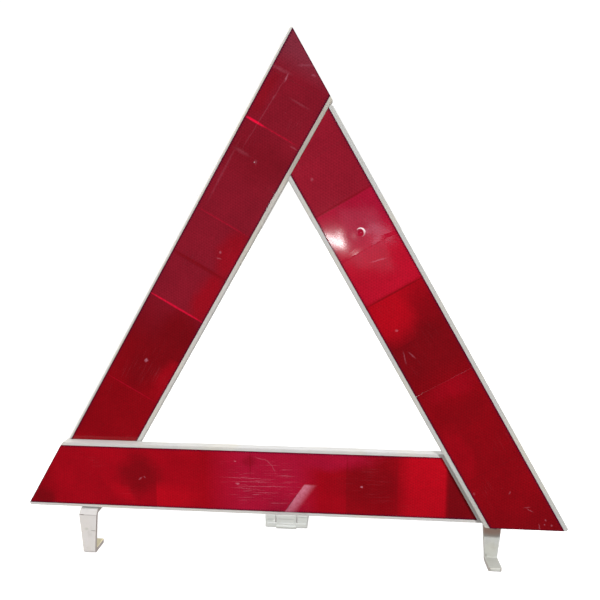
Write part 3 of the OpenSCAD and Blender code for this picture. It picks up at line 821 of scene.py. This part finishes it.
def white_plastic(name, tint, dirt_and_corner_shade=0.5, yellow=0.3, strip=None, stains_and_shade=(), pale_edge=0.0):
    """Aged white moulding: uneven yellowing, painted shade and grime in its corners, scuffs and a
    satin face.
    """
    g = Graph(name)
    spot = g.object_mm()
    if strip:
        spot = g.strip_mm(spot, strip)
    patchy = g.noise(spot, *PATCHES_NOISE)
    cloud = g.noise(spot, *CLOUD_NOISE)
    grain = g.noise(spot, *GRAIN_NOISE)
    colour = g.mix(g.fade(patchy, 0.4, 0.68, 0.0, yellow), tint, YELLOWED)
    colour = g.mix(g.fade(cloud, 0.5, 0.75, 0.0, 0.35 * dirt_and_corner_shade), colour, GREY_FILM)
    for centre, size, strength in stains_and_shade:
        stain_and_shade_mask = g.mark(g.vector("MULTIPLY", spot, (1, 1, 0)), centre, size, soft=0.3)
        colour = g.mix(g.product(stain_and_shade_mask, strength), colour, STAIN_AND_SHADE)
    if pale_edge:
        from_edge = g.parts(spot)[1]
        colour = g.mix(g.fade(from_edge, 2.6, 1.0, 0.0, pale_edge), colour, BLEACHED)
    # darker in corners: painted shade, with grime
    reach = {"Distance": CORNER_REACH}
    hidden = g.node("AmbientOcclusion", reach, samples=CORNER_SAMPLES).outputs["AO"]
    corner = g.product(g.fade(hidden, 0.75, 0.3), g.fade(grain, 0.3, 0.6, 0.5, 1.0))
    colour = g.mix(g.product(corner, 0.75 * dirt_and_corner_shade), colour, CORNER_SHADE_AND_GRIME)
    scuff = g.noise(g.place(spot, (0, 0), (9, 0.5), 31), *SCUFF_NOISE)
    colour = g.mix(g.fade(scuff, 0.68, 0.76, 0.0, 0.5 * dirt_and_corner_shade), colour, SCUFF)
    speck = g.fade(g.noise(spot, *SPECK_NOISE), 0.8, 0.85, 0.0, 0.5 * dirt_and_corner_shade)
    colour = g.mix(speck, colour, SPECK)
    height = g.math("ADD", g.product(grain, 0.5), cloud)
    return g.finish(
        Base_Color=colour, Roughness=g.math("MULTIPLY_ADD", cloud, 0.25, 0.34),
        Subsurface_Weight=0.12, Subsurface_Radius=SKIN_DEPTH, Subsurface_Scale=1.0,
        Specular_IOR_Level=0.4, Normal=g.bump(height, 0.35, 0.0002),
    )


def small_moulding(name):
    """White plastic with the marks on the part's front, some of them painted shade and highlights,
    dust on the faces that look up and, on the feet, painted side shade.
    """
    low, high = (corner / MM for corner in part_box(name))
    middle = (low.x + high.x) / 2
    g = Graph(material=white_plastic("white_" + name, *SMALL_LOOKS[name]))
    across, _, height = g.parts(g.object_mm())
    seen = g.node("CombineXYZ", {0: g.math("SUBTRACT", across, middle), 1: height}).outputs[0]
    face_x, face_y, face_z = g.parts(g.node("TexCoord").outputs["Normal"])
    colour = g.shader.inputs["Base Color"].links[0].from_socket
    looks_ahead = g.fade(face_y, -0.1, -0.5)
    for tone, centre, size, turn, strength in FRONT_MARKS[name]:
        mark = g.product(g.mark(seen, centre, size, turn, soft=0.4), looks_ahead)
        colour = g.mix(g.product(mark, strength), colour, tone)
    colour = g.mix(g.fade(face_z, 0.3, 1.1, 0.0, 0.75), colour, SETTLED_DUST)
    if name in SOLE_YELLOWING:
        sole = g.product(g.fade(face_z, 0.5, 0.9), g.fade(height, SOLE_TOP, SOLE_TOP - 0.5))
        colour = g.mix(g.product(sole, SOLE_YELLOWING[name]), colour, SOLE_YELLOW)
        # painted shade on the faces that look sideways
        sideways = g.fade(g.math("ABSOLUTE", face_x), 0.4, 0.85)
        colour = g.mix(g.product(sideways, 0.7), colour, SIDE_SHADE_BROWN)
    return g.finish(Base_Color=colour)


# ---- steel, nylon and sheet ----

PLATED = srgb(190, 190, 184)
DULLED = srgb(120, 112, 98)
NYLON = srgb(232, 228, 214)
SHEET = srgb(214, 212, 206)
SOILED = srgb(176, 168, 150)

# Noise patterns: scale per millimetre, detail
DULL_NOISE = (0.5, 3.0)
TURNING_NOISE = (1.0, 2.0)
SHEET_NOISE = (1.2, 3.0)


def metal(name, tint, roughness):
    """Plated steel with fine turning marks and dull patches."""
    g = Graph(name)
    spot = g.object_mm()
    dull = g.noise(spot, *DULL_NOISE)
    lines = g.noise(g.place(spot, (0, 0), (3, 0.12), 20), *TURNING_NOISE)
    colour = g.mix(g.fade(dull, 0.4, 0.7, 0.0, 0.5), tint, DULLED)
    return g.finish(Base_Color=colour, Metallic=1.0, Normal=g.bump(lines, 0.3, 0.0001),
                    Roughness=g.math("MULTIPLY_ADD", dull, 0.3, roughness))


def sheet_plastic(name, tint):
    """Plain pale sheet or nylon with a faint grain."""
    g = Graph(name)
    grain = g.noise(g.object_mm(), *SHEET_NOISE)
    colour = g.mix(g.fade(grain, 0.3, 0.7, 0.0, 0.3), tint, SOILED)
    return g.finish(Base_Color=colour, Roughness=0.5, Normal=g.bump(grain, 0.2, 0.0001))


# ---- CAD nodes that show as they are ----

ROUNDED = 0.25  # radius of the rounded edges
ROUNDED_SMALL = 0.2
ROUNDED_STEPS = 2
ROUNDED_ANGLE = 40  # edges sharper than this many degrees are rounded
FLAT_ANGLE = 0.5  # before that, faces within this many degrees of each other become one
WELD_GAP = 0.002  # and points nearer than this are welded


def paint(node, material):
    """Gives a CAD node its material."""
    for slot in frame["nodes"][node].material_slots:
        slot.material = material


def round_edges(node, radius):
    """Rounds a CAD node's edges with modifiers."""
    made = frame["nodes"][node]
    weld = made.modifiers.new("weld", "WELD")
    weld.merge_threshold = WELD_GAP * MM
    flat = made.modifiers.new("flat", "DECIMATE")
    flat.decimate_type = "DISSOLVE"
    flat.angle_limit = math.radians(FLAT_ANGLE)
    bevel = made.modifiers.new("edges", "BEVEL")
    bevel.width = radius * MM
    bevel.segments = ROUNDED_STEPS
    bevel.limit_method = "ANGLE"
    bevel.angle_limit = math.radians(ROUNDED_ANGLE)
    bevel.harden_normals = True


def dress_strips(steel):
    """Materials and rounded edges of the nodes on the three strips, and of the keeper."""
    backing = sheet_plastic("backing_sheet", SHEET)
    for strip, look in HOUSING_LOOKS.items():
        white = white_plastic("white_" + strip, strip=strip, **look)
        paint(strip + "_housing", white)
        round_edges(strip + "_housing", ROUNDED)
        paint(strip + "_backing", backing)
        paint(strip + "_lens_screws", steel)
        if strip == "left_arm":
            paint("apex_keeper", white)
            round_edges("apex_keeper", ROUNDED_SMALL)


def dress_small_parts(steel):
    """Materials and rounded edges of the feet and the clip, and the pivots' and screws' materials."""
    nylon = sheet_plastic("nylon", NYLON)
    for foot in ("left_foot", "right_foot"):
        paint(foot, small_moulding(foot))
        round_edges(foot, ROUNDED)
        paint(foot + "_screw", steel)
        paint(foot + "_washer", nylon)
    paint("storage_clip", small_moulding("storage_clip"))
    round_edges("storage_clip", ROUNDED_SMALL)
    for name in ("keeper_screws", "clip_screws", "left_rear_washer"):
        paint(name, steel)
    for corner in ("left", "right"):
        paint(corner + "_pivot_rivet", steel)
        paint(corner + "_pivot_washer", nylon)


# ---- camera, floor and light: lengths in this section are in metres ----

CAMERA_AT = Vector((0.0476, -0.4752, 0.2807))
CAMERA_AZIMUTH = 4.58  # turned this far to the left of the +Y direction, in degrees
CAMERA_DOWN = 7.30
CAMERA_ROLL = -0.15
CAMERA_LENS = 36
CAMERA_SENSOR = 36
FLOOR_HALF = 30.0
FLOOR_DROP = 0.0003
BACKDROP_R = 28.0

WORLD_FADE = (-0.35, 0.15)  # the world brightens over this range of the direction's Y
WORLD_IN_FRONT = 0.07
WORLD_BEHIND = 1.05

WHITE_LIGHT = (1.0, 1.0, 1.0)
WARM_LIGHT = (1.0, 0.9, 0.84)
HAZE = (0.85, 0.75, 1.0)
MIRROR_DISTANCE = 0.6  # from the right arm's lens to a light that it mirrors


def aimed(at, target, roll=0.0):
    """Matrix of a camera or light at a point, looking at another."""
    turn = (target - at).to_track_quat("-Z", "Y").to_matrix().to_4x4()
    return Matrix.Translation(at) @ turn @ Matrix.Rotation(math.radians(roll), 4, "Z")


def set_camera():
    data = bpy.data.cameras.new("camera")
    data.lens = CAMERA_LENS
    data.sensor_width = CAMERA_SENSOR
    az, down = math.radians(CAMERA_AZIMUTH), math.radians(CAMERA_DOWN)
    ahead = Vector((-math.sin(az) * math.cos(down), math.cos(az) * math.cos(down), -math.sin(down)))
    camera = add("camera", data, aimed(CAMERA_AT, CAMERA_AT + ahead, -CAMERA_ROLL))
    bpy.context.scene.camera = camera


def set_world():
    """White studio behind and above, dim in front so that the lenses stay deep red."""
    world = bpy.data.worlds.new("studio")
    bpy.context.scene.world = world
    world.use_nodes = True
    tree = world.node_tree
    coordinate = tree.nodes.new("ShaderNodeTexCoord")
    split = tree.nodes.new("ShaderNodeSeparateXYZ")
    front = tree.nodes.new("ShaderNodeMapRange")
    front.interpolation_type = "SMOOTHSTEP"
    for index, value in enumerate((*WORLD_FADE, WORLD_IN_FRONT, WORLD_BEHIND), start=1):
        front.inputs[index].default_value = value
    background = tree.nodes["Background"]
    background.inputs["Color"].default_value = STUDIO_WHITE
    tree.links.new(coordinate.outputs["Generated"], split.inputs[0])
    tree.links.new(split.outputs["Y"], front.inputs[0])
    tree.links.new(front.outputs[0], background.inputs["Strength"])


def add_floor():
    half = FLOOR_HALF
    mesh = bpy.data.meshes.new("floor")
    corners = [(-half, -half, 0), (half, -half, 0), (half, half, 0), (-half, half, 0)]
    mesh.from_pydata(corners, [], [(0, 1, 2, 3)])
    pale = Graph("floor_white").finish(
        Base_Color=(0.86, 0.86, 0.86, 1.0), Roughness=0.9, Specular_IOR_Level=0.1,
        Emission_Color=STUDIO_WHITE, Emission_Strength=0.3)
    mesh.materials.append(pale)
    floor = add("floor", mesh, Matrix.Translation((0, 0, -FLOOR_DROP)))
    floor.visible_glossy = False  # the lenses mirror the dim studio in front, not the lit floor
    floor.visible_diffuse = False  # and the light from below is the warm bounce alone
    floor.visible_shadow = False


def add_backdrop():
    """White dome that only the camera sees, so every view ends in plain white."""
    mesh = bpy.data.meshes.new("backdrop")
    shell = bmesh.new()
    bmesh.ops.create_icosphere(shell, subdivisions=4, radius=BACKDROP_R)
    shell.to_mesh(mesh)
    shell.free()
    white = Graph("backdrop_white").finish(
        Base_Color=(0.0, 0.0, 0.0, 1.0), Specular_IOR_Level=0.0,
        Emission_Color=STUDIO_WHITE, Emission_Strength=1.05)
    mesh.materials.append(white)
    dome = add("backdrop", mesh)
    dome.visible_diffuse = False
    dome.visible_glossy = False
    dome.visible_transmission = False
    dome.visible_shadow = False


def mirror_light(name, along, across, width, height, radiance, roll=0.0, colour=WHITE_LIGHT):
    """A soft light that the right arm's lens mirrors; its place and size on it are in mm."""
    strip = FRAMES["right_arm"]
    place = strip @ Vector((along, across, ARM_T)) * MM
    normal = (strip.to_3x3() @ Vector((0, 0, 1))).normalized()
    seen = place - CAMERA_AT
    leaving = (seen - 2 * seen.dot(normal) * normal).normalized()
    grow = (seen.length + MIRROR_DISTANCE) / seen.length * MM
    data = bpy.data.lights.new(name, "AREA")
    data.shape = "RECTANGLE"
    data.size, data.size_y = width * grow, height * grow
    data.energy = radiance * math.pi * data.size * data.size_y
    data.color = colour
    light = add(name, data, aimed(place + leaving * MIRROR_DISTANCE, place, roll))
    light.visible_camera = False


def sky_light(name, elevation, azimuth, spread, strength, colour=WHITE_LIGHT, glossy=True):
    """An even light from one side of the sky; azimuth 0 shines along +Y."""
    data = bpy.data.lights.new(name, "SUN")
    data.energy = strength
    data.color = colour
    data.angle = math.radians(spread)
    up, round_z = math.radians(elevation), math.radians(azimuth)
    at = Vector((math.sin(round_z) * math.cos(up), -math.cos(round_z) * math.cos(up), math.sin(up)))
    light = add(name, data, aimed(at, Vector((0, 0, 0))))
    light.visible_glossy = glossy


def set_lights():
    sky_light("overhead", elevation=75, azimuth=-20, spread=60, strength=1.0)
    sky_light("key", elevation=42, azimuth=8, spread=3, strength=2.6)
    sky_light("fill", elevation=30, azimuth=-50, spread=60, strength=0.5)
    sky_light("bounce", elevation=-30, azimuth=0, spread=90, strength=0.9,
              colour=WARM_LIGHT, glossy=False)
    mirror_light("glare_edge", along=291, across=61, width=21, height=7, radiance=90)
    mirror_light("glare_low", along=291, across=52, width=9, height=9, radiance=40, roll=20)
    mirror_light("glare_high", along=280, across=7, width=28, height=10, radiance=5, colour=HAZE)
    mirror_light("glare_haze", along=281, across=27, width=44, height=50, radiance=1.5,
                 roll=12, colour=HAZE)


# ---- the scene ----

bpy.context.scene.view_settings.view_transform = "Standard"
set_camera()
set_world()
add_floor()
add_backdrop()
set_lights()
for strip in FRAMES:
    build_lens(strip)
steel = metal("zinc_steel", PLATED, 0.3)
dress_strips(steel)
dress_small_parts(steel)
